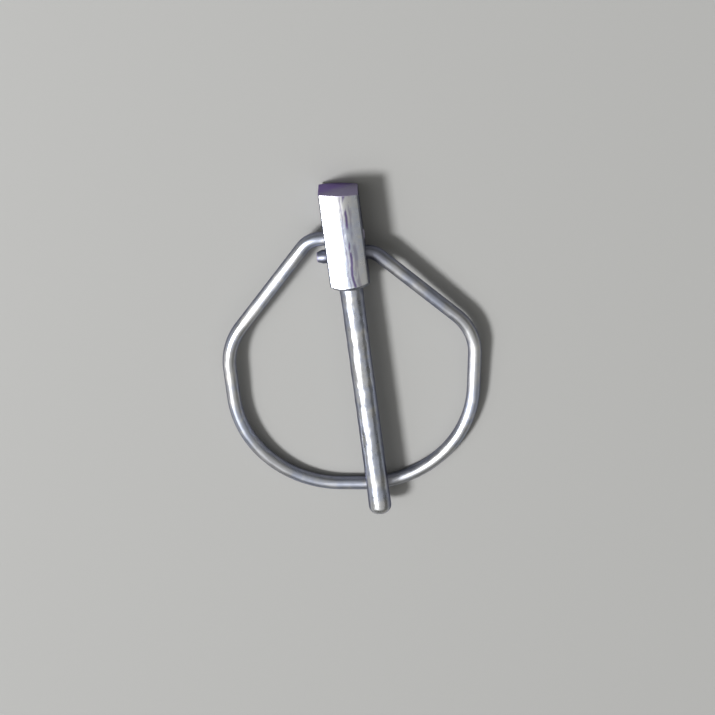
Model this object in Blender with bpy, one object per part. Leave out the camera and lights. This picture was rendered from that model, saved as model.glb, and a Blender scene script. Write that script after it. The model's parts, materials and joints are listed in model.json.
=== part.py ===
"""Linch pin: a one-piece steel pin with a block head, locked by a sprung wire ring.

The pin lies on a flat surface. +Y runs along the pin from its tip to its head, +X runs along
the two cross holes in the head, +Z is up. The origin is the bottom centre of the whole part.
Lengths are in metres.
"""

import math

import bmesh
import bpy
from mathutils import Matrix, Vector

MM = 0.001

# Pin
SHANK_DIAMETER = 4.5 * MM
SHANK_LENGTH = 48.8 * MM
TIP_ROUNDING = 1.7 * MM
ROOT_FILLET = 0.4 * MM
HEAD_LENGTH = 19.3 * MM
HEAD_WIDTH = 7.5 * MM
HEAD_SIDE_HEIGHT = 7.2 * MM
RIDGE_RISE = 0.9 * MM
RIDGE_LAND = 1.8 * MM
RIDGE_OFFSET = 0.3 * MM
HEAD_EDGE_BEVEL = 0.25 * MM
END_SLANT = math.radians(5.5)
SEAT_RADIUS = 3.6 * MM
CHAMFER_ANGLE = math.radians(40)
SHANK_SIDES = 48

# Cross holes, one for each leg of the ring
HOLE_DIAMETER = 3.1 * MM
HOLE_SPACING = 3.6 * MM
HOLES_FROM_SHOULDER = 8.1 * MM
HOLE_SIDES = 32

# Ring wire, measured along its centre line in the ring's own plane from between the holes
WIRE_DIAMETER = 2.7 * MM
LEG_END_DIAMETER = 2.0 * MM
LEG_END_TAPER = 1.1 * MM
LEG_LENGTH = 10.85 * MM
LEG_BEND_OUT = 6.05 * MM
LEG_BEND_RADIUS = 4.0 * MM
RING_HALF_WIDTH = 24.3 * MM
LEFT_CORNER_REACH = 21.4 * MM
LEFT_CORNER_RADIUS = 13.1 * MM
RIGHT_CORNER_REACH = 17.8 * MM
RIGHT_CORNER_RADIUS = 10.6 * MM
LEFT_BOW_WIDTH = 21.0 * MM
BOW_RADIUS = 21.6 * MM
RING_REACH = 51.9 * MM
RING_SKEW = math.radians(7.7)
RING_OFFSET = 1.27 * MM
RING_SIDE_PLAY = -0.9 * MM
ARC_STEP = math.radians(5.0)
WIRE_BEVEL_RESOLUTION = 6

# Lying at rest: the head's far edge on the surface, the shank just clear of the ring's bow
RESTING_GAP = 0.35 * MM

HEAD_HALF_HEIGHT = HEAD_SIDE_HEIGHT / 2 + RIDGE_RISE
END_TO_HOLES = HEAD_LENGTH - HOLES_FROM_SHOULDER
SHANK_REST_HEIGHT = WIRE_DIAMETER + RESTING_GAP + SHANK_DIAMETER / 2
PIN_TILT = math.asin((SHANK_REST_HEIGHT - HEAD_HALF_HEIGHT) / (END_TO_HOLES + RING_REACH))
HINGE_HEIGHT = HEAD_HALF_HEIGHT * math.cos(PIN_TILT) + END_TO_HOLES * math.sin(PIN_TILT)
RING_SLOPE = math.asin((HINGE_HEIGHT - WIRE_DIAMETER / 2) / RING_REACH)


def clear_scene():
    for obj in list(bpy.data.objects):
        bpy.data.objects.remove(obj, do_unlink=True)


def steel(name, color, roughness):
    material = bpy.data.materials.new(name)
    material.use_nodes = True
    shader = material.node_tree.nodes["Principled BSDF"]
    shader.inputs["Base Color"].default_value = (*color, 1.0)
    shader.inputs["Metallic"].default_value = 1.0
    shader.inputs["Roughness"].default_value = roughness
    return material


def add_object(name, data, parent):
    obj = bpy.data.objects.new(name, data)
    bpy.context.collection.objects.link(obj)
    obj.parent = parent
    return obj


def mesh_object(name, bm, parent):
    bmesh.ops.remove_doubles(bm, verts=bm.verts, dist=1e-7)
    bmesh.ops.recalc_face_normals(bm, faces=bm.faces)
    mesh = bpy.data.meshes.new(name)
    bm.to_mesh(mesh)
    bm.free()
    return add_object(name, mesh, parent)


def as_cutter(obj):
    obj.hide_render = True
    obj.display_type = "WIRE"
    return obj


def turned(name, profile, sides, parent):
    """A solid turned about Y from (radius, y) points that start and end on the axis."""
    bm = bmesh.new()
    verts = [bm.verts.new((radius, y, 0.0)) for radius, y in profile]
    edges = [bm.edges.new(pair) for pair in zip(verts, verts[1:])]
    bmesh.ops.spin(
        bm, geom=verts + edges, cent=(0, 0, 0), axis=(0, 1, 0),
        angle=math.tau, steps=sides, use_duplicate=False,
    )
    return mesh_object(name, bm, parent)


def arc(cx, cy, radius, start, end, count):
    angles = [start + (end - start) * i / count for i in range(count + 1)]
    return [(cx + radius * math.cos(a), cy + radius * math.sin(a)) for a in angles]


def shank_solid(parent):
    """The round shank with its rounded tip and root fillet, run 3 mm up into the head."""
    radius = SHANK_DIAMETER / 2
    tip = arc(
        radius - TIP_ROUNDING, -SHANK_LENGTH + TIP_ROUNDING, TIP_ROUNDING,
        -math.pi / 2, 0.0, 8,
    )
    root = arc(
        radius + ROOT_FILLET, -ROOT_FILLET, ROOT_FILLET, math.pi, math.pi / 2, 4,
    )
    inside = [(radius + ROOT_FILLET, 0.3 * MM), (radius, 3 * MM), (0.0, 3 * MM)]
    profile = [(0.0, -SHANK_LENGTH)] + tip + root + inside
    return as_cutter(turned("shank_tool", profile, SHANK_SIDES, parent))


def chamfer_envelope(parent):
    """The cone that turns the head's corners down to the round seat at the shoulder."""
    reach = 2 * HEAD_WIDTH
    top = HEAD_LENGTH + 2 * MM
    cone_height = (reach - SEAT_RADIUS) * math.tan(CHAMFER_ANGLE)
    profile = [(0.0, 0.0), (SEAT_RADIUS, 0.0), (reach, cone_height), (reach, top + cone_height)]
    profile.append((0.0, top + cone_height))
    return as_cutter(turned("chamfer_tool", profile, SHANK_SIDES, parent))


def hole_cutter(name, y, parent):
    bm = bmesh.new()
    turn = Matrix.Translation((0.0, y, 0.0)) @ Matrix.Rotation(math.pi / 2, 4, "Y")
    bmesh.ops.create_cone(
        bm, cap_ends=True, segments=HOLE_SIDES, radius1=HOLE_DIAMETER / 2,
        radius2=HOLE_DIAMETER / 2, depth=2 * HEAD_WIDTH, matrix=turn,
    )
    return as_cutter(mesh_object(name, bm, parent))


def head_block(parent):
    """The head: flat sides, and a shallow roof with a narrow land along front and back."""
    side = HEAD_WIDTH / 2
    low = HEAD_SIDE_HEIGHT / 2
    land = RIDGE_LAND / 2
    top = HEAD_HALF_HEIGHT
    roof = [(side, low), (RIDGE_OFFSET + land, top), (RIDGE_OFFSET - land, top), (-side, low)]
    outline = roof + [(-x, -z) for x, z in roof]
    bm = bmesh.new()
    shoulder = [bm.verts.new((x, 0.0, z)) for x, z in outline]
    block = bmesh.ops.extrude_face_region(bm, geom=[bm.faces.new(shoulder)])
    for vert in (item for item in block["geom"] if isinstance(item, bmesh.types.BMVert)):
        vert.co.y = HEAD_LENGTH - vert.co.x * math.tan(END_SLANT)
    return mesh_object("pin", bm, parent)


def boolean(obj, operation, tool):
    modifier = obj.modifiers.new(tool.name, "BOOLEAN")
    modifier.operation = operation
    modifier.object = tool


def make_pin(assembly):
    pin = head_block(assembly)
    pin.location.z = HEAD_HALF_HEIGHT * math.cos(PIN_TILT) + HEAD_LENGTH * math.sin(PIN_TILT)
    pin.rotation_euler.x = -PIN_TILT
    bevel = pin.modifiers.new("edge_bevel", "BEVEL")
    bevel.width = HEAD_EDGE_BEVEL
    bevel.segments = 2
    bevel.limit_method = "ANGLE"
    bevel.angle_limit = math.radians(40)
    boolean(pin, "INTERSECT", chamfer_envelope(pin))
    boolean(pin, "UNION", shank_solid(pin))
    for name, side in (("upper_hole_tool", 1), ("lower_hole_tool", -1)):
        y = HOLES_FROM_SHOULDER + side * HOLE_SPACING / 2
        boolean(pin, "DIFFERENCE", hole_cutter(name, y, pin))
    pin.data.materials.append(steel("pin_zinc", (0.78, 0.79, 0.82), 0.22))
    return pin


def rounded_route(corners, radii):
    """Straight runs between the corners, with an arc of each inner corner's own radius."""
    route = [corners[0]]
    for before, corner, after, radius in zip(corners, corners[1:], corners[2:], radii):
        back = (before - corner).normalized()
        ahead = (after - corner).normalized()
        half = back.angle(ahead) / 2
        centre = corner + (back + ahead).normalized() * radius / math.sin(half)
        spoke = corner + back * radius / math.tan(half) - centre
        turn = math.pi - 2 * half
        axis = back.cross(spoke).normalized()
        count = max(2, math.ceil(turn / ARC_STEP))
        for i in range(count + 1):
            route.append(centre + Matrix.Rotation(turn * i / count, 3, axis) @ spoke)
    route.append(corners[-1])
    return route


def in_ring_plane(x, y):
    point = Matrix.Rotation(-RING_SKEW, 3, "Z") @ Vector((x + RING_OFFSET, y, 0.0))
    return Matrix.Rotation(RING_SLOPE, 3, "X") @ point


def in_hole(x, side):
    return Matrix.Rotation(-PIN_TILT, 3, "X") @ Vector((x, side * HOLE_SPACING / 2, 0.0))


def ring_route():
    """Centre line from one leg's end to the other's, about the point between the holes."""
    left_bend = -LEG_BEND_OUT + RING_SIDE_PLAY
    right_bend = LEG_BEND_OUT + RING_SIDE_PLAY
    corners = [
        in_hole(left_bend + LEG_LENGTH, 1),
        in_hole(left_bend, 1),
        in_ring_plane(-RING_HALF_WIDTH, -LEFT_CORNER_REACH),
        in_ring_plane(-LEFT_BOW_WIDTH, -RING_REACH),
        in_ring_plane(RING_HALF_WIDTH, -RING_REACH),
        in_ring_plane(RING_HALF_WIDTH, -RIGHT_CORNER_REACH),
        in_hole(right_bend, -1),
        in_hole(right_bend - LEG_LENGTH, -1),
    ]
    left_radii = [LEG_BEND_RADIUS, LEFT_CORNER_RADIUS, BOW_RADIUS]
    right_radii = [BOW_RADIUS, RIGHT_CORNER_RADIUS, LEG_BEND_RADIUS]
    route = rounded_route(corners, left_radii + right_radii)
    first_taper = route[0].lerp(route[1], LEG_END_TAPER / (route[0] - route[1]).length)
    last_taper = route[-1].lerp(route[-2], LEG_END_TAPER / (route[-1] - route[-2]).length)
    return [route[0], first_taper] + route[1:-1] + [last_taper, route[-1]]


def make_ring(assembly):
    route = ring_route()
    curve = bpy.data.curves.new("ring", "CURVE")
    curve.dimensions = "3D"
    curve.bevel_depth = WIRE_DIAMETER / 2
    curve.bevel_resolution = WIRE_BEVEL_RESOLUTION
    curve.use_fill_caps = True
    spline = curve.splines.new("POLY")
    spline.points.add(len(route) - 1)
    for point, position in zip(spline.points, route):
        point.co = (*position, 1.0)
    for end in (spline.points[0], spline.points[-1]):
        end.radius = LEG_END_DIAMETER / WIRE_DIAMETER
    spline.use_smooth = True
    ring = add_object("ring", curve, assembly)
    ring.location = (0.0, HOLES_FROM_SHOULDER * math.cos(PIN_TILT), HINGE_HEIGHT)
    curve.materials.append(steel("ring_zinc", (0.80, 0.81, 0.84), 0.16))
    return ring


def centre_on_origin(assembly, objects):
    """Move the assembly so that its box stands centred on the origin."""
    bpy.context.view_layer.update()
    graph = bpy.context.evaluated_depsgraph_get()
    points = []
    for obj in objects:
        shape = obj.evaluated_get(graph)
        mesh = shape.to_mesh()
        points += [shape.matrix_world @ vert.co for vert in mesh.vertices]
        shape.to_mesh_clear()
    low = Vector([min(point[axis] for point in points) for axis in range(3)])
    high = Vector([max(point[axis] for point in points) for axis in range(3)])
    assembly.location = -Vector(((low.x + high.x) / 2, (low.y + high.y) / 2, low.z))


def shade(obj):
    obj.data.shade_smooth()
    obj.data.set_sharp_from_angle(angle=math.radians(25))


def main():
    clear_scene()
    assembly = bpy.data.objects.new("assembly", None)
    bpy.context.collection.objects.link(assembly)
    pin = make_pin(assembly)
    ring = make_ring(assembly)
    shade(pin)
    centre_on_origin(assembly, (pin, ring))


main()
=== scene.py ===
"""Linch pin: the finished surfaces of a one-piece steel pin and its sprung wire ring.

Run as a script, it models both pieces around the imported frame, lays them on a plain floor
under a soft studio light and sets the camera. Lengths are in metres.
"""

import json
import math

import bmesh
import bpy
import numpy as np
from bpy.props import FloatProperty, FloatVectorProperty, IntProperty, PointerProperty
from mathutils import Matrix, Vector


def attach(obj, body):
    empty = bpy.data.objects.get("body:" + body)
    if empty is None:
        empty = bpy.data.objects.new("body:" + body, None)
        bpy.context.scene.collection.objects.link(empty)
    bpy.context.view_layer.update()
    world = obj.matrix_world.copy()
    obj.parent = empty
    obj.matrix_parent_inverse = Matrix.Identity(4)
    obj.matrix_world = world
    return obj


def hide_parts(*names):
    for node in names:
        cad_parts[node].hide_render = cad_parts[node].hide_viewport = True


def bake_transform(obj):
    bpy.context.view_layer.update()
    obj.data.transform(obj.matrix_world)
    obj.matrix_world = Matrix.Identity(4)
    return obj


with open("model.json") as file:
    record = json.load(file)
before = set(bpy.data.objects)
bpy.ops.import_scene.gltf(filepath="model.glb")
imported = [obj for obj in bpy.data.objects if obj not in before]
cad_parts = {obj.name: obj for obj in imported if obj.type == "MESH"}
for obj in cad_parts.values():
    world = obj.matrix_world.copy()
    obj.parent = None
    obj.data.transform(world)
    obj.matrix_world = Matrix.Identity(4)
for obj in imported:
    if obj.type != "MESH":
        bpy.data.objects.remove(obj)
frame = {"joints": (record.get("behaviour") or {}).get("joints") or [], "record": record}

bl_info = {
    "name": "Linch Pin",
    "version": (1, 0, 0),
    "blender": (4, 5, 0),
    "location": "View3D > Sidebar > Linch Pin",
    "description": "Models a zinc-plated linch pin with its wire ring, floor, lights and camera",
    "category": "Object",
}

MM = 0.001

HINGE = next(joint for joint in frame["joints"] if joint["name"] == "ring_swing")
HINGE_POINT = Vector(HINGE["pos_m"])
SEAT = next(mount for mount in frame["record"]["mounts"] if mount["name"] == "shoulder_seat")
PIN_TILT = math.asin(SEAT["axis"][2])
PIN_PLACE = Matrix.Translation((HINGE_POINT.x, SEAT["pos_m"][1], SEAT["pos_m"][2]))
PIN_PLACE @= Matrix.Rotation(-PIN_TILT, 4, "X")
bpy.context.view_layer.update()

# The soft panel's distance over the key light's
BEHIND_KEY = 1.03

# Metal at a grazing view keeps this share of its reflection
EDGE_TINT = (0.3, 0.3, 0.36, 1.0)

# (start, stop, amount) along the wire in millimetres, from the left leg's end. The first table
# lays painted shade on its lengths and roughens them: the bow's bottom, the right arm, and
# darkest the right leg's root in the head's shadow. The second table only roughens.
DULL_PAINTED_SHADE_LENGTHS = ((56, 98, 0.30), (133, 152, 0.40), (153, 175, 0.90))
SATIN_LENGTHS = ((15, 31, 1.0), (111, 129, 1.0))


def length(name, default, text):
    """A length that is set in the sidebar."""
    return FloatProperty(
        name=name, description=text, default=default, min=0.0, precision=5, unit="LENGTH",
    )


def angle(name, degrees, text):
    return FloatProperty(
        name=name, description=text, default=math.radians(degrees), subtype="ANGLE",
    )


def color(name, default, text):
    return FloatVectorProperty(
        name=name, description=text, default=default, size=3, min=0.0, max=1.0,
        subtype="COLOR",
    )


class PinSettings(bpy.types.PropertyGroup):
    shank_diameter: length("Shank", 4.5 * MM, "Diameter of the round shank")
    shank_length: length("Shank length", 48.79 * MM, "Shoulder to the end of the tip")
    tip_rounding: length("Tip rounding", 1.7 * MM, "Radius of the tip's edge")
    root_fillet: length("Root fillet", 0.4 * MM, "Radius where the shank meets the shoulder")
    head_length: length("Head length", 19.28 * MM, "Shoulder to the middle of the end face")
    head_width: length("Head width", 7.5 * MM, "Across the flat sides")
    side_height: length("Side height", 7.2 * MM, "Height of the flat sides")
    ridge_rise: length("Ridge rise", 0.9 * MM, "From a side's edge up to the ridge")
    ridge_land: length("Ridge land", 1.8 * MM, "Width of the flat along the ridge")
    ridge_offset: length("Ridge offset", 0.3 * MM, "Ridge's distance from the middle")
    edge_round: length("Edge rounding", 0.3 * MM, "Rounding of the head's long edges")
    end_slant: angle("End slant", 5.5, "How far the cropped end is out of square")
    seat_radius: length("Seat radius", 3.6 * MM, "Radius of the turned seat at the shoulder")
    chamfer: angle("Shoulder chamfer", 40.0, "Slope of the cone turned on the corners")
    hole_diameter: length("Cross hole", 3.1 * MM, "Diameter of each cross hole")
    hole_spacing: length("Hole spacing", 3.6 * MM, "Between the two cross holes")
    hole_from_shoulder: length("Hole height", 8.1 * MM, "Shoulder to between the holes")
    ripple: length("Ripple", 0.07 * MM, "Depth of the waves rolled into the shank")


class RingSettings(bpy.types.PropertyGroup):
    wire_diameter: length("Wire", 2.7 * MM, "Diameter of the spring wire")
    wire_wear: length("Wire wear", 0.036 * MM, "Taken off the wire's diameter")
    end_diameter: length("Leg end", 2.0 * MM, "Diameter of the ground end of each leg")
    end_taper: length("Leg taper", 1.1 * MM, "Length that the ground end takes")
    leg_length: length("Leg length", 10.85 * MM, "Bend to the end of a leg")
    leg_bend_out: length("Leg bend", 6.05 * MM, "Head's middle to a leg's bend")
    leg_bend_radius: length("Leg bend radius", 4.0 * MM, "Centre-line radius of that bend")
    half_width: length("Half width", 24.3 * MM, "Ring's middle to its side")
    left_reach: length("Left shoulder", 21.4 * MM, "Holes to the ring's left shoulder")
    left_radius: length("Left radius", 13.1 * MM, "Radius of the left shoulder")
    right_reach: length("Right shoulder", 17.8 * MM, "Holes to the right shoulder")
    right_radius: length("Right radius", 10.6 * MM, "Radius of the right shoulder")
    left_bow_width: length("Left bow width", 21.0 * MM, "Ring's middle to the bow's left")
    bow_radius: length("Bow radius", 21.6 * MM, "Radius of the bow's two sides")
    reach: length("Reach", 51.9 * MM, "Holes to the end of the bow")
    skew: angle("Skew", 7.7, "Turn of the ring in its own plane")
    offset: length("Offset", 1.27 * MM, "Ring's middle line to the pin's")
    side_play: FloatProperty(
        name="Side play", description="How far the legs have slid through their holes",
        default=-0.9 * MM, precision=5, unit="LENGTH",
    )
    sides: IntProperty(
        name="Sides", description="Sides of the wire's section", default=40, min=12,
    )


class FinishSettings(bpy.types.PropertyGroup):
    zinc: color("Zinc", (0.80, 0.81, 0.83), "Bright plated surface")
    blue_tint: color("Blue tint", (0.66, 0.71, 0.84), "Passivated patches")
    warm_tint: color("Warm tint", (0.86, 0.84, 0.79), "Handled patches")
    # Painted shade: a dark colour laid on the flanks of the pin and the wire in place of the
    # dark reflection at their edges, and on some lengths of the wire
    painted_shade: color("Film", (0.21, 0.22, 0.28), "Dark passivate left on the flanks")
    streak: color("Streak", (0.20, 0.16, 0.32), "Violet passivate in the formed lines")
    cropped: color("Cropped end", (0.44, 0.40, 0.56), "Sheared ends, dull grey violet")
    sheared: color("Sheared corner", (0.35, 0.26, 0.56), "Deeper violet at one corner")
    # Painted shade: darkens the cross holes and the corner at the shank's root
    painted_hollow_shade: color("Grime", (0.30, 0.29, 0.31), "Dull film in holes and corners")


class StageSettings(bpy.types.PropertyGroup):
    floor_size: length("Floor", 6.0, "Side of the square floor")
    floor_color: color("Floor colour", (0.325, 0.325, 0.319), "Pale grey table")
    camera_distance: length("Camera distance", 0.40, "Camera to the middle of the ring")
    camera_tilt: angle("Camera tilt", 22.0, "Off straight down, towards the head")
    camera_turn: angle("Camera turn", 7.15, "Turn of the picture against the pin")
    camera_aim: FloatVectorProperty(
        name="Camera aim", description="Point of the floor that the camera looks at",
        default=(0.99 * MM, -2.5 * MM, 0.0), precision=5, unit="LENGTH",
    )
    lens: FloatProperty(
        name="Lens", description="Focal length in millimetres", default=101.8, min=1.0,
    )
    key_distance: length("Key distance", 3.0, "Key light to the pin")
    key_height: angle("Key height", 54.5, "Key light above the floor")
    key_turn: angle("Key turn", 16.0, "Key light's side angle, from the pin's left")
    key_size: length("Key size", 0.63, "Diameter of the key light")
    key_power: FloatProperty(
        name="Key power", description="Watts of the key light", default=105.0, min=0.0,
    )
    panel_size: length("Panel size", 3.0, "Diameter of the soft panel round the key")
    panel_power: FloatProperty(
        name="Panel power", description="Watts of the soft panel", default=25.4, min=0.0,
    )
    room_color: color("Room colour", (0.092, 0.090, 0.080), "Dim light from all round")
    soft_height: length("Soft box height", 1.0, "Soft box above the floor")
    soft_size: length("Soft box size", 2.4, "Diameter of the overhead soft box")
    soft_power: FloatProperty(
        name="Soft box power", description="Watts of the soft box", default=4.3, min=0.0,
    )


# Selection and editing helpers


def deselect_all():
    for obj in bpy.context.selected_objects:
        obj.select_set(False)


def only(obj):
    deselect_all()
    bpy.context.view_layer.objects.active = obj
    obj.select_set(True)
    return obj


def start_piece(name):
    """Name the primitive that was just added."""
    obj = bpy.context.active_object
    obj.name = name
    obj.data.name = name
    return only(obj)


def edit(obj, mode="FACE"):
    only(obj)
    bpy.ops.object.mode_set(mode="EDIT")
    bpy.ops.mesh.select_mode(type=mode)
    bpy.ops.mesh.select_all(action="DESELECT")


def leave_edit():
    bpy.ops.object.mode_set(mode="OBJECT")


def pick(obj, kind, test):
    """Select the elements of the edit mesh that pass the test, and no others."""
    bm = bmesh.from_edit_mesh(obj.data)
    bpy.ops.mesh.select_all(action="DESELECT")
    found = 0
    for item in getattr(bm, kind):
        if test(item):
            item.select_set(True)
            found += 1
    bm.select_flush_mode()
    bmesh.update_edit_mesh(obj.data)
    if not found:
        raise RuntimeError(f"nothing to select on {obj.name}")


def faces_towards(direction):
    direction = Vector(direction)
    return lambda face: face.normal.normalized().dot(direction) > 0.999


def apply_modifier(obj, kind, **settings):
    only(obj)
    modifier = obj.modifiers.new(kind.title(), kind)
    for name, value in settings.items():
        setattr(modifier, name, value)
    bpy.ops.object.modifier_apply(modifier=modifier.name)


def combine(obj, operation, tool):
    apply_modifier(obj, "BOOLEAN", operation=operation, object=tool, solver="EXACT")
    bpy.data.objects.remove(tool, do_unlink=True)


def set_place(obj, place):
    """Put the piece in place and keep the place in its mesh."""
    only(obj)
    obj.matrix_world = place
    bpy.ops.object.transform_apply(location=True, rotation=True, scale=True)


def smooth(obj, degrees):
    only(obj)
    bpy.ops.object.shade_smooth_by_angle(angle=math.radians(degrees))


# Pin


def make_head(size):
    """The block: flat sides, a low roof with a narrow land front and back, a cropped end."""
    spare = 2 * MM
    full = size.head_length + spare
    bpy.ops.mesh.primitive_cube_add(size=1.0, location=(0.0, full / 2, 0.0))
    head = start_piece("pin_body")
    head.scale = (size.head_width, full, size.side_height)
    bpy.ops.object.transform_apply(location=True, rotation=True, scale=True)
    edit(head)
    for way in (1, -1):
        middle = way * size.ridge_offset
        for edge in (middle - size.ridge_land / 2, middle + size.ridge_land / 2):
            pick(head, "faces", faces_towards((0, 0, way)))
            bpy.ops.mesh.bisect(plane_co=(edge, 0.0, 0.0), plane_no=(1.0, 0.0, 0.0))
        pick(head, "faces", lambda face: faces_towards((0, 0, way))(face)
             and abs(face.calc_center_median().x - middle) < size.ridge_land / 4)
        bpy.ops.transform.translate(value=(0.0, 0.0, way * size.ridge_rise))
    bpy.ops.mesh.select_all(action="SELECT")
    bpy.ops.mesh.bisect(
        plane_co=(0.0, size.head_length, 0.0), plane_no=(math.tan(size.end_slant), 1.0, 0.0),
        clear_outer=True, use_fill=True,
    )
    round_head_edges(head, size)
    leave_edit()
    return head


def round_head_edges(head, size):
    side = size.head_width / 2 - 0.01 * MM
    land = size.side_height / 2 + size.ridge_rise - 0.01 * MM
    long_edge = 4 * MM

    def along_pin(edge):
        step = edge.verts[1].co - edge.verts[0].co
        return step.length > long_edge and abs(step.y) > 0.9 * step.length

    bpy.ops.mesh.select_mode(type="EDGE")
    pick(head, "edges", lambda edge: along_pin(edge) and abs(edge.verts[0].co.z) > land)
    bpy.ops.mesh.bevel(offset=2 * size.edge_round, segments=4, profile=0.5)
    pick(head, "edges", lambda edge: along_pin(edge) and abs(edge.verts[0].co.x) > side)
    bpy.ops.mesh.bevel(offset=size.edge_round, segments=4, profile=0.5)
    pick(head, "edges", lambda edge: all(
        vert.co.y > size.head_length - 2 * MM for vert in edge.verts))
    bpy.ops.mesh.bevel(offset=0.5 * size.edge_round, segments=3, profile=0.5)


def make_turning_cone(size):
    """The cone that the head's lower corners are turned down to."""
    reach = 2 * size.head_width
    rise = (reach - size.seat_radius) * math.tan(size.chamfer)
    bpy.ops.mesh.primitive_cone_add(
        vertices=128, radius1=size.seat_radius, radius2=reach, depth=rise,
        location=(0.0, rise / 2, 0.0), rotation=(-math.pi / 2, 0.0, 0.0),
    )
    cone = start_piece("turning_cone")
    bpy.ops.object.transform_apply(location=True, rotation=True, scale=True)
    edit(cone)
    pick(cone, "faces", faces_towards((0, 1, 0)))
    bpy.ops.mesh.extrude_region_move(
        TRANSFORM_OT_translate={"value": (0.0, size.head_length, 0.0)})
    leave_edit()
    return cone


def make_shank(size):
    """The round shank: rounded tip, rolled waves along it, a flared root inside the head."""
    radius = size.shank_diameter / 2
    straight = size.shank_length - size.root_fillet
    bpy.ops.mesh.primitive_cylinder_add(
        vertices=72, radius=radius, depth=straight, rotation=(math.pi / 2, 0.0, 0.0),
        location=(0.0, -size.root_fillet - straight / 2, 0.0),
    )
    shank = start_piece("shank")
    bpy.ops.object.transform_apply(location=True, rotation=True, scale=True)
    edit(shank, "EDGE")
    pick(shank, "edges", lambda edge: all(
        vert.co.y < -size.shank_length + 0.01 * MM for vert in edge.verts))
    bpy.ops.mesh.bevel(offset=size.tip_rounding, segments=10, profile=0.5)
    pick(shank, "edges", lambda edge: abs(
        edge.verts[0].co.y - edge.verts[1].co.y) > straight / 2)
    bpy.ops.mesh.subdivide(number_cuts=110)
    bpy.ops.mesh.select_mode(type="FACE")
    pick(shank, "faces", faces_towards((0, 1, 0)))
    flare_root(size, radius)
    leave_edit()
    roll_waves(shank, size)
    return shank


def flare_root(size, radius):
    """Extrude the selected end face up a quarter circle, then on into the head."""
    steps = 6
    now_y, now_radius = -size.root_fillet, radius
    rings = []
    for i in range(1, steps + 1):
        turn = math.pi / 2 * i / steps
        rings.append((-size.root_fillet * (1 - math.sin(turn)),
                      radius + size.root_fillet * (1 - math.cos(turn))))
    rings.append((0.3 * MM, radius + size.root_fillet))
    rings.append((3.0 * MM, radius))
    for y, ring_radius in rings:
        bpy.ops.mesh.extrude_region_move(
            TRANSFORM_OT_translate={"value": (0.0, y - now_y, 0.0)})
        factor = ring_radius / now_radius
        bpy.ops.transform.resize(value=(factor, 1.0, factor), center_override=(0.0, y, 0.0))
        now_y, now_radius = y, ring_radius


def roll_waves(shank, size):
    """Shallow waves along the shank, fading out before the tip and the root."""
    free = shank.vertex_groups.new(name="rolled")
    start, stop = -size.shank_length + 2.5 * MM, -1.5 * MM
    for vert in shank.data.vertices:
        room = min(vert.co.y - start, stop - vert.co.y) / (3 * MM)
        if room > 0:
            free.add([vert.index], min(1.0, room), "REPLACE")
    waves = bpy.data.textures.new("rolled_waves", "CLOUDS")
    waves.noise_scale = 1.9 * MM
    waves.noise_depth = 1
    apply_modifier(
        shank, "DISPLACE", texture=waves, texture_coords="LOCAL", vertex_group="rolled",
        strength=2 * size.ripple, mid_level=1.0,
    )


def make_hole_tool(size, y):
    """A drill with a small flare at each side of the head, which breaks the hole's rims."""
    radius = size.hole_diameter / 2
    half = size.head_width / 2
    flare = 0.18 * MM
    rings = [(0.06 * MM, 0.02 * MM), (0.12 * MM, 0.07 * MM), (flare, flare),
             (flare + 1.0 * MM, flare + 1.0 * MM)]
    bpy.ops.mesh.primitive_cylinder_add(
        vertices=64, radius=radius, depth=2 * (half - flare), location=(0.0, y, 0.0),
        rotation=(0.0, math.pi / 2, 0.0),
    )
    drill = start_piece("drill")
    bpy.ops.object.transform_apply(location=True, rotation=True, scale=True)
    edit(drill)
    for way in (1, -1):
        pick(drill, "faces", faces_towards((way, 0, 0)))
        for (depth, wider), (next_depth, next_wider) in zip([(0.0, 0.0)] + rings, rings):
            bpy.ops.mesh.extrude_region_move(
                TRANSFORM_OT_translate={"value": (way * (next_depth - depth), 0.0, 0.0)})
            factor = (radius + next_wider) / (radius + wider)
            bpy.ops.transform.resize(
                value=(1.0, factor, factor), center_override=(0.0, y, 0.0))
    leave_edit()
    return drill


def make_pin(size):
    pin = make_head(size)
    combine(pin, "INTERSECT", make_turning_cone(size))
    combine(pin, "UNION", make_shank(size))
    for way in (1, -1):
        y = size.hole_from_shoulder + way * size.hole_spacing / 2
        combine(pin, "DIFFERENCE", make_hole_tool(size, y))
    edit(pin)
    bpy.ops.mesh.select_all(action="SELECT")
    bpy.ops.mesh.remove_doubles(threshold=0.002 * MM)
    bpy.ops.mesh.dissolve_degenerate(threshold=0.002 * MM)
    leave_edit()
    smooth(pin, 28)
    set_place(pin, PIN_PLACE)
    return pin


# Ring


def in_ring_plane(size, x, y):
    """A point of the ring's own plane, about the hinge point."""
    drop = HINGE_POINT.z - size.wire_diameter / 2
    point = Matrix.Rotation(-size.skew, 3, "Z") @ Vector((x + size.offset, y, 0.0))
    return HINGE_POINT + Matrix.Rotation(math.asin(drop / size.reach), 3, "X") @ point


def in_hole(x, way):
    """A point on the middle line of a cross hole."""
    pin = bpy.context.scene.linch_pin
    y = pin.hole_from_shoulder + way * pin.hole_spacing / 2
    return PIN_PLACE @ Vector((x, y, 0.0))


def ring_corners(size):
    left = -size.leg_bend_out + size.side_play
    right = size.leg_bend_out + size.side_play
    return [
        in_hole(left + size.leg_length, 1),
        in_hole(left, 1),
        in_ring_plane(size, -size.half_width, -size.left_reach),
        in_ring_plane(size, -size.left_bow_width, -size.reach),
        in_ring_plane(size, size.half_width, -size.reach),
        in_ring_plane(size, size.half_width, -size.right_reach),
        in_hole(right, -1),
        in_hole(right - size.leg_length, -1),
    ]


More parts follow.
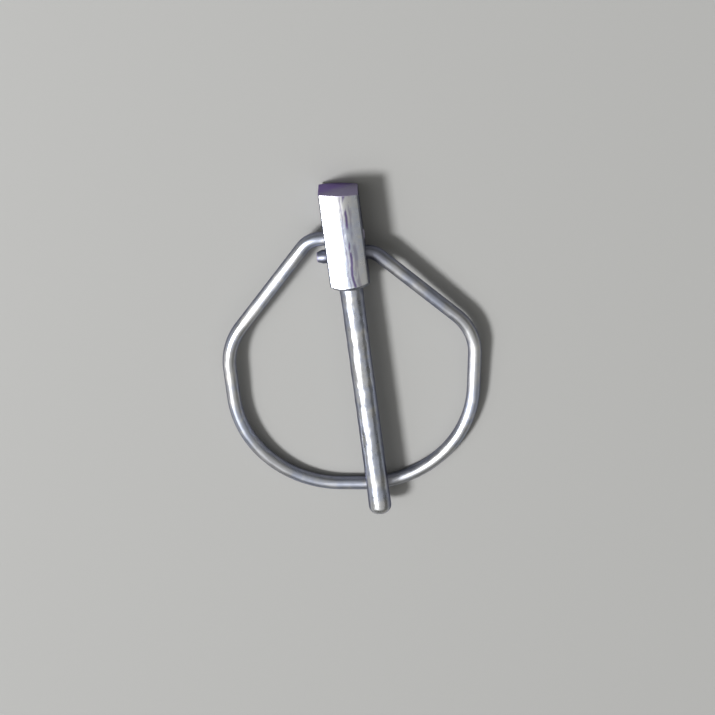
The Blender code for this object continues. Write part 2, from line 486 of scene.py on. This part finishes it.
class Bend:
    """One bend of the wire: where it starts and ends, and the circle it follows."""

    def __init__(self, before, corner, after, radius):
        back = (before - corner).normalized()
        ahead = (after - corner).normalized()
        half = back.angle(ahead) / 2
        self.centre = corner + (back + ahead).normalized() * radius / math.sin(half)
        self.start = corner + back * radius / math.tan(half)
        self.end = corner + ahead * radius / math.tan(half)
        self.turn = math.pi - 2 * half
        self.axis = back.cross(self.start - self.centre).normalized()


def wire_bends(size):
    corners = ring_corners(size)
    radii = [size.leg_bend_radius, size.left_radius, size.bow_radius]
    radii += [size.bow_radius, size.right_radius, size.leg_bend_radius]
    return [Bend(*four) for four in zip(corners, corners[1:], corners[2:], radii)]


def draw_straight(start, end, longest=0.8 * MM):
    steps = max(1, math.ceil((end - start).length / longest))
    for _ in range(steps):
        bpy.ops.mesh.extrude_region_move(
            TRANSFORM_OT_translate={"value": (end - start) / steps})


def draw_bend(bend, step=math.radians(3.0)):
    bpy.ops.mesh.spin(
        steps=max(4, math.ceil(bend.turn / step)), angle=-bend.turn, center=bend.centre,
        axis=bend.axis, use_auto_merge=False,
    )


def end_rings(size):
    """(distance from the end, radius) of the rings of a ground leg end."""
    tip = size.end_diameter / 2
    edge = 0.22 * MM
    rings = [(0.0, tip - edge)]
    for i in range(1, 5):
        turn = math.pi / 2 * i / 4
        rings.append((edge * (1 - math.cos(turn)), tip - edge * (1 - math.sin(turn))))
    rings.append((size.end_taper, (size.wire_diameter - size.wire_wear) / 2))
    return rings


def draw_end(origin, direction, rings):
    """Extrude the selected section through rings given as (distance, radius)."""
    for (before, old), (after, new) in zip(rings, rings[1:]):
        bpy.ops.mesh.extrude_region_move(
            TRANSFORM_OT_translate={"value": direction * (after - before)})
        factor = new / old
        bpy.ops.transform.resize(
            value=(factor,) * 3, center_override=origin + direction * after)


def make_ring(size):
    """The wire, drawn from one leg's end round to the other's."""
    corners = ring_corners(size)
    bends = wire_bends(size)
    rings = end_rings(size)
    along = (corners[1] - corners[0]).normalized()
    bpy.ops.mesh.primitive_circle_add(
        vertices=size.sides, radius=rings[0][1], fill_type="NGON", location=corners[0],
        rotation=along.to_track_quat("Z", "Y").to_euler(),
    )
    ring = start_piece("ring_wire")
    bpy.ops.object.transform_apply(location=True, rotation=True, scale=True)
    edit(ring)
    bpy.ops.mesh.select_all(action="SELECT")
    draw_end(corners[0], along, rings)
    place = corners[0] + along * rings[-1][0]
    for bend in bends:
        draw_straight(place, bend.start)
        draw_bend(bend)
        place = bend.end
    finish = (corners[-1] - corners[-2]).normalized()
    draw_straight(place, corners[-1] - finish * rings[-1][0])
    total = rings[-1][0]
    draw_end(
        corners[-1] - finish * total, finish,
        [(total - distance, radius) for distance, radius in reversed(rings)],
    )
    bpy.ops.mesh.select_all(action="SELECT")
    bpy.ops.mesh.remove_doubles(threshold=0.002 * MM)
    bpy.ops.mesh.normals_make_consistent(inside=False)
    leave_edit()
    smooth(ring, 40)
    straighten(ring, corners, bends)
    return ring


def straighten(ring, corners, bends):
    """Keep on each vertex where it was on the wire before it was bent.

    The attribute holds the distance along the wire, then the two offsets across it.
    """
    route = [corners[0]]
    for bend in bends:
        spoke = bend.start - bend.centre
        count = max(4, math.ceil(bend.turn / math.radians(1.5)))
        for i in range(count + 1):
            turn = Matrix.Rotation(bend.turn * i / count, 3, bend.axis)
            route.append(bend.centre + turn @ spoke)
    route.append(corners[-1])
    points = np.array([list(point) for point in route])
    steps = points[1:] - points[:-1]
    lengths = np.linalg.norm(steps, axis=1)
    begun = np.concatenate([[0.0], np.cumsum(lengths)])
    up = np.array([0.0, 0.0, 1.0])
    values = []
    for vert in ring.data.vertices:
        offset = np.array(vert.co) - points[:-1]
        share = np.clip((offset * steps).sum(1) / lengths**2, 0.0, 1.0)
        across = offset - share[:, None] * steps
        nearest = int(np.argmin((across**2).sum(1)))
        heading = steps[nearest] / lengths[nearest]
        side = np.cross(heading, up)
        values.append((
            begun[nearest] + share[nearest] * lengths[nearest],
            float(across[nearest] @ side), float(across[nearest] @ up),
        ))
    drawn = ring.data.attributes.new("drawn_wire", "FLOAT_VECTOR", "POINT")
    drawn.data.foreach_set("vector", np.array(values, np.float32).ravel())
    ring["wire_length"] = float(begun[-1])


# Finishes


class Value:
    """A number somewhere on a finish. Arithmetic on it adds Math nodes."""

    def __init__(self, finish, socket):
        self.finish = finish
        self.socket = socket

    def maths(self, operation, *terms):
        inputs = dict(enumerate(terms))
        return self.finish.add("ShaderNodeMath", {"operation": operation}, inputs)

    def __add__(self, other):
        return self.maths("ADD", self, other)

    def __radd__(self, other):
        return self.maths("ADD", other, self)

    def __sub__(self, other):
        return self.maths("SUBTRACT", self, other)

    def __rsub__(self, other):
        return self.maths("SUBTRACT", other, self)

    def __mul__(self, other):
        return self.maths("MULTIPLY", self, other)

    def __rmul__(self, other):
        return self.maths("MULTIPLY", other, self)

    def __truediv__(self, other):
        return self.maths("DIVIDE", self, other)

    def __abs__(self):
        return self.maths("ABSOLUTE", self)

    def power(self, exponent):
        return self.maths("POWER", self, exponent)

    def at_most(self, other):
        return self.maths("MINIMUM", self, other)

    def at_least(self, other):
        return self.maths("MAXIMUM", self, other)

    def clear_of(self, low, high):
        """0 below low, 1 above high, smooth between; the other way round if low > high."""
        swap = low > high
        settings = {"interpolation_type": "SMOOTHSTEP"}
        inputs = {"Value": self, "From Min": min(low, high), "From Max": max(low, high)}
        if swap:
            inputs.update({"To Min": 1.0, "To Max": 0.0})
        return self.finish.add("ShaderNodeMapRange", settings, inputs)


class Finish:
    """A material with a Principled shader, built from wrapped sockets."""

    def __init__(self, name, **constants):
        self.material = bpy.data.materials.new(name)
        self.material.use_nodes = True
        self.tree = self.material.node_tree
        self.shader = self.tree.nodes["Principled BSDF"]
        for socket, value in constants.items():
            self.shader.inputs[socket.replace("_", " ")].default_value = value

    def add(self, kind, settings, inputs, output=0):
        """Add a node, set it up, feed its sockets, and wrap one of its outputs."""
        node = self.tree.nodes.new(kind)
        for name, value in settings.items():
            if name == "stops":
                set_stops(node.color_ramp, value)
            else:
                setattr(node, name, value)
        for name, value in inputs.items():
            self.feed(node.inputs[name], value)
        return Value(self, node.outputs[output])

    def feed(self, socket, value):
        if isinstance(value, Value):
            self.tree.links.new(value.socket, socket)
        else:
            socket.default_value = value

    def set(self, name, value):
        self.feed(self.shader.inputs[name], value)

    def stretched(self, place, scale):
        return self.add(
            "ShaderNodeVectorMath", {"operation": "MULTIPLY"}, {0: place, 1: scale})

    def axes(self, place):
        split = self.add("ShaderNodeSeparateXYZ", {}, {"Vector": place})
        outputs = split.socket.node.outputs
        return [Value(self, outputs[name]) for name in ("X", "Y", "Z")]

    def noise(self, place, scale, detail=2.0, roughness=0.5, distortion=0.0):
        return self.add("ShaderNodeTexNoise", {}, {
            "Vector": place, "Scale": scale, "Detail": detail, "Roughness": roughness,
            "Distortion": distortion,
        })

    def mix(self, factor, first, second):
        settings = {"data_type": "RGBA"}
        inputs = {0: factor, 6: rgba(first), 7: rgba(second)}
        return self.add("ShaderNodeMix", settings, inputs, output=2)

    def bump(self, height, depth, normal=None):
        inputs = {"Height": height, "Distance": depth, "Strength": 1.0}
        if normal is not None:
            inputs["Normal"] = normal
        return self.add("ShaderNodeBump", {}, inputs)


def set_stops(ramp, stops):
    while len(ramp.elements) < len(stops):
        ramp.elements.new(1.0)
    for element, (position, value) in zip(ramp.elements, stops):
        element.position = position
        element.color = (value, value, value, 1.0)


def rgba(value):
    return value if isinstance(value, Value) else (*value, 1.0)


def zinc_base(finish, colors, place, along):
    """Colour, roughness and height of bright zinc over metal drawn along one direction.

    place is in metres, and along has small numbers on the drawn direction.
    """
    drawn = finish.stretched(place, along)
    patches = finish.noise(place, 160.0, detail=3.0, roughness=0.55)
    clouds = finish.noise(place, 420.0, detail=4.0, roughness=0.6, distortion=0.6)
    lines = finish.noise(drawn, 4200.0, detail=3.0, roughness=0.6)
    grain = finish.noise(place, 9000.0, detail=2.0)
    scratch = abs(finish.noise(place, 330.0, detail=2.0, distortion=1.2) - 0.5)
    scratch = scratch.clear_of(0.006, 0.0) * clouds.clear_of(0.45, 0.62)
    tone = finish.mix(patches.clear_of(0.42, 0.60), colors.zinc, colors.blue_tint)
    tone = finish.mix(clouds.clear_of(0.52, 0.72) * 0.6, tone, colors.warm_tint)
    rough = 0.25 + lines.clear_of(0.35, 0.65) * 0.07 + clouds.clear_of(0.4, 0.7) * 0.08
    rough = rough + scratch * 0.10 + grain.clear_of(0.45, 0.75) * 0.04
    height = lines * 0.5 + grain * 0.25 - scratch * 0.8
    return tone, rough, height


def finish_pin(colors, size):
    """Bright zinc: drawn lines along the pin, a dull cropped end, and painted shade on the
    flanks, in the holes and at the shank's root.
    """
    finish = Finish("bright_zinc_pin", Metallic=1.0, Specular_Tint=EDGE_TINT)
    object_output = 3
    place = finish.add("ShaderNodeTexCoord", {}, {}, output=object_output)
    tone, rough, height = zinc_base(finish, colors, place, (1.0, 0.05, 1.0))
    x, y, z = finish.axes(place)
    shoulder = PIN_PLACE.translation
    head_end = shoulder.y + size.head_length
    past_end = y + (x - shoulder.x) * math.tan(size.end_slant) - head_end
    cropped = past_end.clear_of(-0.16 * MM, -0.03 * MM)
    patches = finish.noise(place, 900.0, detail=3.0) - 0.5
    shear = finish.noise(finish.stretched(place, (1.0, 1.0, 0.12)), 5200.0, detail=3.0)
    pits = finish.noise(place, 2600.0, detail=3.0).clear_of(0.60, 0.72)
    from_middle = x - shoulder.x + z - HINGE_POINT.z + patches * (3.0 * MM)
    lower_corner = from_middle.clear_of(1.0 * MM, -3.0 * MM)
    sheared = finish.mix(lower_corner, colors.cropped, colors.sheared)
    tone = finish.mix(cropped, tone, sheared)
    rough = rough + cropped * (0.20 + shear * 0.15)
    height = height + cropped * (shear * 3.0 - pits * 1.5)
    uncropped = 1.0 - cropped
    # Painted shade: the flanks are darkened to stand in for the dark reflection at the pin's
    # edges
    flank = flank_shade(finish, size, x - shoulder.x, y - shoulder.y, place) * uncropped
    tone = finish.mix(flank, tone, colors.painted_shade)
    rough = rough + flank * 0.06
    streak = ridge_streaks(finish, size, x - shoulder.x, y - shoulder.y, z, place) * uncropped
    tone = finish.mix(streak, tone, colors.streak)
    rough = rough + streak * 0.10
    height = height - streak * 1.5
    # Painted shade in the cross holes and in the corner at the shank's root, made rougher too
    holes = hole_shade(size, y, z)
    corner = root_shade(size, x, y, z)
    painted_shade = holes.at_least(corner) * (0.65 + pits * 0.35)
    tone = finish.mix(painted_shade, tone, colors.painted_hollow_shade)
    rough = rough + painted_shade * 0.25
    dents = finish.noise(place, 520.0, detail=1.0).clear_of(0.30, 0.42)
    hammered = finish.noise(finish.stretched(place, (1.0, 0.7, 1.0)), 640.0, detail=1.0)
    hammered = hammered * (y - shoulder.y).clear_of(0.0, -1.5 * MM)
    normal = finish.bump(dents, 0.010 * MM, finish.bump(hammered, 0.10 * MM))
    finish.set("Base Color", tone)
    finish.set("Roughness", rough)
    finish.set("Normal", finish.bump(height, 0.0022 * MM, normal))
    return finish.material


def flank_shade(finish, size, x, y, place):
    """1 on the two sides of the shank and head that face along the cross holes."""
    patchy = 0.62 + finish.noise(place, 700.0, detail=3.0) * 0.5
    radius = size.shank_diameter / 2
    half = size.head_width / 2
    shank = abs(x).clear_of(0.66 * radius, 0.92 * radius) * y.clear_of(0.05 * MM, 0.0)
    head = abs(x).clear_of(half - 0.35 * MM, half - 0.1 * MM) * y.clear_of(0.0, 0.05 * MM)
    return (shank + head) * patchy


def ridge_streaks(finish, size, x, y, z, place):
    """Broken dark lines that the forming dies left beside the ridge, front and back."""
    front = z.clear_of(HINGE_POINT.z - 0.1 * MM, HINGE_POINT.z + 0.1 * MM) * 2.0 - 1.0
    across = x * front - size.ridge_offset
    sway = finish.noise(finish.stretched(place, (0.3, 1.0, 0.3)), 260.0, detail=2.0) - 0.5
    broken = finish.noise(finish.stretched(place, (1.0, 0.25, 1.0)), 900.0, detail=2.0)
    shade = None
    lines = ((0.62, 0.36, 1.0), (-0.85, 0.20, 0.75), (-0.1, 0.16, 0.6), (1.55, 0.50, 0.4))
    for middle, width, amount in lines:
        away = abs(across - middle * MM + sway * (0.9 * MM))
        line = away.clear_of(width * MM, 0.3 * width * MM) * broken.clear_of(0.40, 0.52)
        shade = line * amount if shade is None else shade.at_least(line * amount)
    on_head = y.clear_of(0.4 * MM, 1.2 * MM)
    return shade * on_head


def distance(first, second):
    return (first * first + second * second).power(0.5)


def hole_shade(size, y, z):
    """1 in the cross holes and close round their mouths."""
    shade = None
    radius = size.hole_diameter / 2
    for way in (1, -1):
        centre = PIN_PLACE @ Vector(
            (0.0, size.hole_from_shoulder + way * size.hole_spacing / 2, 0.0))
        away = distance(y - centre.y, z - centre.z)
        near = away.clear_of(radius + 0.45 * MM, radius + 0.05 * MM)
        shade = near if shade is None else shade.at_least(near)
    return shade


def root_shade(size, x, y, z):
    """1 in the corner between the shank and the shoulder."""
    shoulder = PIN_PLACE.translation
    radius = size.shank_diameter / 2
    away = distance(x - shoulder.x, z - shoulder.z)
    low = (y - shoulder.y).clear_of(-0.9 * MM, -0.1 * MM)
    high = (y - shoulder.y).clear_of(0.10 * MM, 0.05 * MM)
    return away.clear_of(radius + 0.7 * MM, radius + 0.3 * MM) * low * high


def finish_ring(colors, size, wire_length):
    """Bright zinc on smooth drawn wire, dull at its two ground ends, with painted shade on its
    flanks and on three lengths.
    """
    finish = Finish("bright_zinc_wire", Metallic=1.0, Specular_Tint=EDGE_TINT)
    wire = finish.add(
        "ShaderNodeAttribute", {"attribute_name": "drawn_wire"}, {}, output=1)
    tone, rough, height = zinc_base(finish, colors, wire, (0.04, 1.0, 1.0))
    along, side, _ = finish.axes(wire)
    radius = size.wire_diameter / 2
    patchy = 0.62 + finish.noise(wire, 700.0, detail=3.0) * 0.5
    # Painted shade: the wire's flanks are darkened to stand in for the dark reflection at its
    # edges
    flank = abs(side).clear_of(0.64 * radius, 0.92 * radius) * patchy
    tone = finish.mix(flank, tone, colors.painted_shade)
    rough = rough + flank * 0.06
    # Painted shade on the listed lengths, which are also made rougher: the bow's bottom, the
    # right arm, and darkest the right leg's root in the head's shadow
    dull = on_lengths(along, DULL_PAINTED_SHADE_LENGTHS)
    satin = on_lengths(along, SATIN_LENGTHS)
    tone = finish.mix(dull, tone, colors.painted_shade)
    from_end = along.at_most(wire_length - along)
    ground = from_end.clear_of(0.30 * MM, 0.05 * MM)
    turned = from_end.clear_of(size.end_taper, 0.6 * size.end_taper)
    tone = finish.mix(ground * 0.8, tone, colors.cropped)
    rough = rough + 0.03 + ground * 0.20 + turned * 0.06 + dull * 0.10 + satin * 0.12
    finish.set("Base Color", tone)
    finish.set("Roughness", rough)
    finish.set("Normal", finish.bump(height, 0.0018 * MM))
    return finish.material


def on_lengths(along, lengths):
    """The given amount on each length of the wire, and 0 between them."""
    shade = None
    for start, stop, amount in lengths:
        length = along.clear_of((start - 3) * MM, (start + 3) * MM)
        length = length * along.clear_of((stop + 3) * MM, (stop - 3) * MM) * amount
        shade = length if shade is None else shade.at_least(length)
    return shade


def finish_floor(stage):
    finish = Finish("pale_table", Roughness=0.6)
    finish.set("Base Color", rgba(stage.floor_color))
    return finish.material


# Stage


def on_floor(turn, reach):
    """A point on the floor round the ring's middle; a turn of 0 is straight to its left."""
    return Vector((-math.cos(turn), -math.sin(turn), 0.0)) * reach


def make_floor(stage):
    bpy.ops.mesh.primitive_plane_add(size=stage.floor_size)
    floor = start_piece("floor")
    floor.data.materials.append(finish_floor(stage))


def add_light(name, place, diameter, power):
    bpy.ops.object.light_add(type="AREA", location=place)
    light = bpy.context.active_object
    light.name = name
    light.data.shape = "DISK"
    light.data.size = diameter
    light.data.energy = power
    light.rotation_euler = place.to_track_quat("Z", "Y").to_euler()
    return light


def make_lights(stage):
    turn = stage.key_turn - stage.camera_turn
    flat = on_floor(turn, stage.key_distance * math.cos(stage.key_height))
    key = flat + Vector((0.0, 0.0, stage.key_distance * math.sin(stage.key_height)))
    add_light("key_light", key, stage.key_size, stage.key_power)
    add_light("soft_panel", key * BEHIND_KEY, stage.panel_size, stage.panel_power)
    above = Vector((0.0, 0.0, stage.soft_height))
    add_light("soft_box", above, stage.soft_size, stage.soft_power)
    world = bpy.data.worlds.new("studio")
    world.use_nodes = True
    background = world.node_tree.nodes["Background"]
    background.inputs["Color"].default_value = rgba(stage.room_color)
    scene = bpy.context.scene
    scene.world = world
    scene.view_settings.view_transform = "Standard"


def make_camera(stage):
    """Above the head's end, looking down and back, with the head at the picture's top."""
    turn = Matrix.Rotation(-stage.camera_turn, 4, "Z")
    tilt = Matrix.Rotation(-stage.camera_tilt, 4, "X")
    reach = Matrix.Translation((0.0, 0.0, stage.camera_distance))
    bpy.ops.object.camera_add()
    camera = bpy.context.active_object
    camera.name = "camera"
    camera.data.lens = stage.lens
    camera.data.clip_start = 0.01
    camera.matrix_world = Matrix.Translation(stage.camera_aim) @ turn @ tilt @ reach
    bpy.context.scene.camera = camera


# Add-on


class LINCHPIN_OT_pin(bpy.types.Operator):
    """Model the steel pin and give it its plated finish"""

    bl_idname = "linch_pin.pin"
    bl_label = "Pin"

    def execute(self, context):
        size = context.scene.linch_pin
        pin = make_pin(size)
        pin.data.materials.clear()
        pin.data.materials.append(finish_pin(context.scene.linch_finish, size))
        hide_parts("pin")
        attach(pin, "pin")
        return {"FINISHED"}


class LINCHPIN_OT_ring(bpy.types.Operator):
    """Bend the wire ring and finish it"""

    bl_idname = "linch_pin.ring"
    bl_label = "Ring"

    def execute(self, context):
        size = context.scene.linch_ring
        ring = make_ring(size)
        finish = finish_ring(context.scene.linch_finish, size, ring["wire_length"])
        ring.data.materials.append(finish)
        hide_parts("ring")
        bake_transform(ring)
        return {"FINISHED"}


class LINCHPIN_OT_stage(bpy.types.Operator):
    """Add the floor, the lights and the camera"""

    bl_idname = "linch_pin.stage"
    bl_label = "Stage"

    def execute(self, context):
        stage = context.scene.linch_stage
        make_floor(stage)
        make_lights(stage)
        make_camera(stage)
        return {"FINISHED"}


class LINCHPIN_PT_sidebar(bpy.types.Panel):
    """Sizes and finishes of the linch pin, and a button for each piece"""

    bl_idname = "LINCHPIN_PT_sidebar"
    bl_label = "Linch Pin"
    bl_space_type = "VIEW_3D"
    bl_region_type = "UI"
    bl_category = "Linch Pin"

    def draw(self, context):
        scene = context.scene
        groups = (
            (scene.linch_pin, LINCHPIN_OT_pin.bl_idname),
            (scene.linch_ring, LINCHPIN_OT_ring.bl_idname),
            (scene.linch_stage, LINCHPIN_OT_stage.bl_idname),
            (scene.linch_finish, None),
        )
        for group, operator in groups:
            box = self.layout.box()
            for name in group.__annotations__:
                box.prop(group, name)
            if operator:
                box.operator(operator)


GROUPS = {
    "linch_pin": PinSettings,
    "linch_ring": RingSettings,
    "linch_finish": FinishSettings,
    "linch_stage": StageSettings,
}
CLASSES = (*GROUPS.values(), LINCHPIN_OT_pin, LINCHPIN_OT_ring, LINCHPIN_OT_stage,
           LINCHPIN_PT_sidebar)


def register():
    for cls in CLASSES:
        bpy.utils.register_class(cls)
    for name, group in GROUPS.items():
        setattr(bpy.types.Scene, name, PointerProperty(type=group))


def unregister():
    for name in GROUPS:
        delattr(bpy.types.Scene, name)
    for cls in reversed(CLASSES):
        bpy.utils.unregister_class(cls)


def main():
    register()
    deselect_all()
    bpy.ops.linch_pin.stage()
    bpy.ops.linch_pin.pin()
    bpy.ops.linch_pin.ring()


if __name__ == "__main__":
    main()
